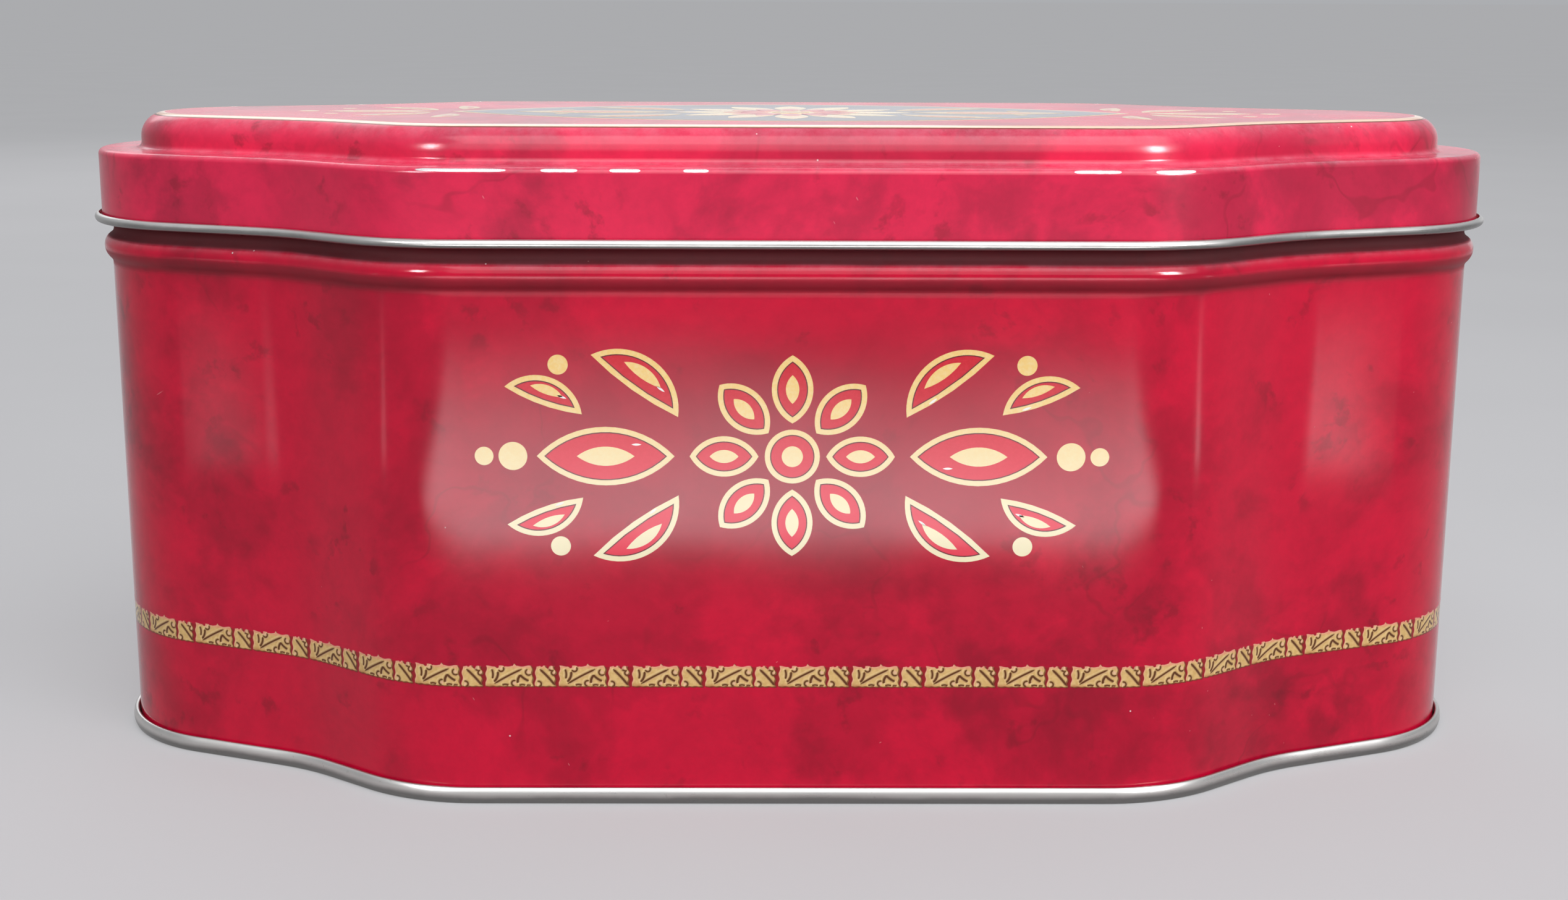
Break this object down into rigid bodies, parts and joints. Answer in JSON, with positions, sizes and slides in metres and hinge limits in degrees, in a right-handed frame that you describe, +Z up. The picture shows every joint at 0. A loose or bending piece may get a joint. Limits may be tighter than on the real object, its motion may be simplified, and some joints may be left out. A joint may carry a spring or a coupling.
{
  "type": "slip-lid storage tin",
  "caption": "Long oblong tinplate box with an S-stepped outline and round ends, a stop rib, a rolled bottom hem and a lift-off lid with a raised flat panel.",
  "frame": {"origin": "under the middle of the tin, on the surface that it stands on", "axes": "+Z up and along the lid's lift; X along the length; the front faces -Y, the lock seam is at +Y"},
  "size_m": [0.2452, 0.1012, 0.1104],
  "materials": {
    "red_lacquer": "glossy marbled red lacquer print on tinplate, with a gold leaf band; bare tin inside",
    "lid_lacquer": "glossy marbled red lacquer print with a cream line; bare tin inside and on the curl",
    "bare_tinplate": "bare tinplate with fine rolling marks"
  },
  "bodies": {
    "tin_body": {"body_wall": "red_lacquer", "bottom_plate": "bare_tinplate"},
    "lid_body": {"lid": "lid_lacquer"}
  },
  "joints": [
    {"name": "lid_lift", "type": "slide", "parent": "tin_body", "child": "lid_body", "axis": [0, 0, 1], "range_m": [0, 0.12]}
  ]
}
